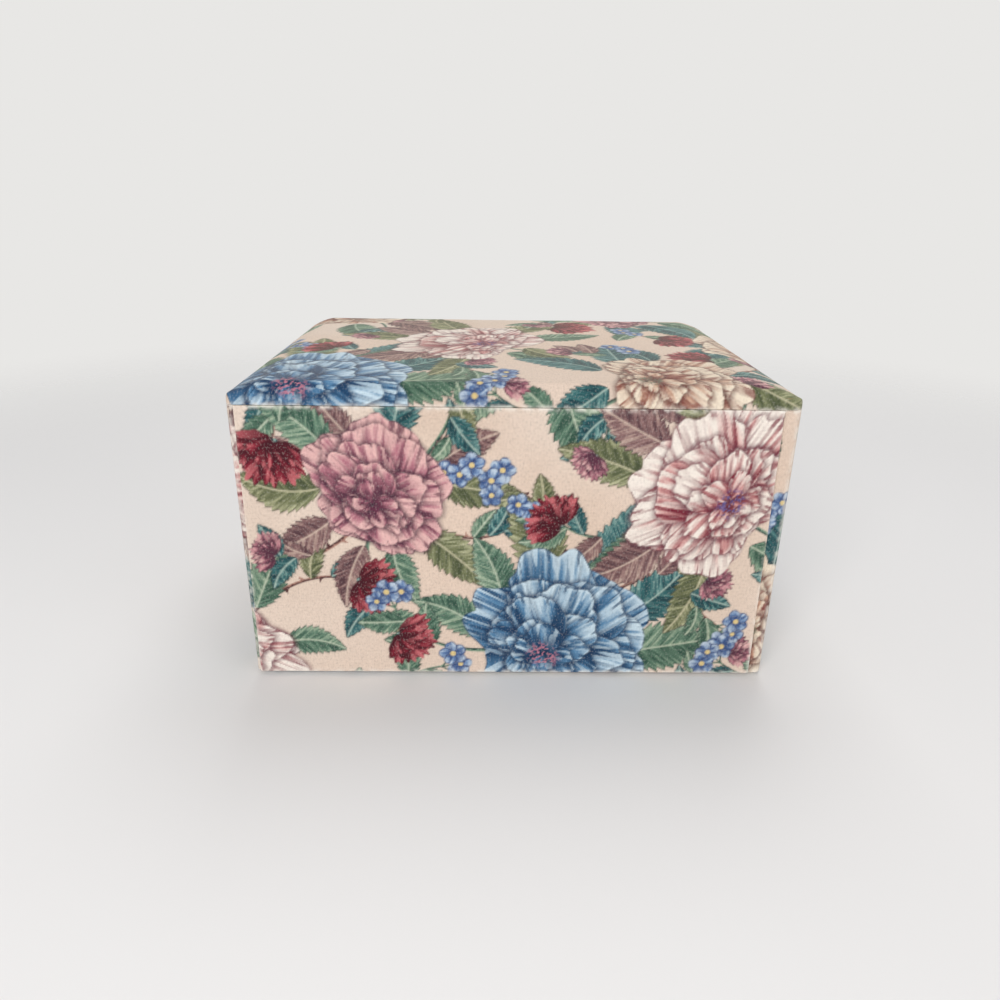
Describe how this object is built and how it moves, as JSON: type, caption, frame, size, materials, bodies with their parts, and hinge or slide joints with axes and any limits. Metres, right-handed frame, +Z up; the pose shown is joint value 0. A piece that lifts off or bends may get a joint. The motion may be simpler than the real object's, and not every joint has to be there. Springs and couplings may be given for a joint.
{
  "type": "fabric jewelry box",
  "caption": "Oblong cloth-covered jewelry box with a padded hinged lid, a lined well with dividers and a lift-out tray.",
  "frame": {"origin": "middle of the box's footprint, on the felt's lower face, which is what the box stands on", "axes": "+X along the width to the viewer's right, +Y from the front panel towards the hinges, +Z up"},
  "size_m": [0.25, 0.1723, 0.1495],
  "materials": {
    "printed_cloth": "printed cotton canvas, faint sheen",
    "board": "raw fibreboard",
    "card": "grey card",
    "foam": "soft upholstery foam",
    "lining_velvet": "short velvet pile",
    "satin_ribbon": "satin ribbon",
    "base_felt": "thin pressed felt",
    "brass": "brass plate, lightly worn",
    "mirror": "silvered glass"
  },
  "bodies": {
    "case": {"base_board": "board", "front_wall": "board", "back_wall": "board", "left_wall": "board", "right_wall": "board", "side_cloth": "printed_cloth", "front_card": "card", "front_cloth": "printed_cloth", "base_felt": "base_felt", "floor_pad": "lining_velvet", "front_lining": "lining_velvet", "back_lining": "lining_velvet", "left_lining": "lining_velvet", "right_lining": "lining_velvet", "front_tray_ledge": "lining_velvet", "back_tray_ledge": "lining_velvet", "long_divider": "lining_velvet", "short_divider_left": "lining_velvet", "short_divider_right": "lining_velvet", "left_case_hinge_leaf": "brass", "right_case_hinge_leaf": "brass", "hinge_pins": "brass", "case_hinge_screws": "brass", "left_stay_ribbon": "satin_ribbon", "right_stay_ribbon": "satin_ribbon"},
    "lid": {"lid_board": "board", "lid_foam": "foam", "lid_cloth": "printed_cloth", "lid_lining": "lining_velvet", "mirror": "mirror", "mirror_frame": "satin_ribbon", "left_lid_hinge_leaf": "brass", "right_lid_hinge_leaf": "brass", "lid_hinge_screws": "brass"},
    "tray": {"tray_floor": "lining_velvet", "tray_front_wall": "lining_velvet", "tray_back_wall": "lining_velvet", "tray_left_wall": "lining_velvet", "tray_right_wall": "lining_velvet", "tray_divider_left": "lining_velvet", "tray_divider_right": "lining_velvet", "tray_cross_divider": "lining_velvet", "tray_floor_pads": "lining_velvet", "ring_rolls": "lining_velvet", "left_pull_tab": "satin_ribbon", "right_pull_tab": "satin_ribbon"}
  },
  "joints": [
    {"name": "lid_hinge", "type": "hinge", "parent": "case", "child": "lid", "pos_m": [0, 0.0863, 0.136], "axis": [-1, 0, 0], "range_deg": [0, 105]},
    {"name": "tray_lift", "type": "slide", "parent": "case", "child": "tray", "axis": [0, 0, 1], "range_m": [0, 0.0395]}
  ],
  "couplings": [
    {"joint": "tray_lift", "follows": "lid_hinge", "m_per_rad": 0.0215}
  ]
}
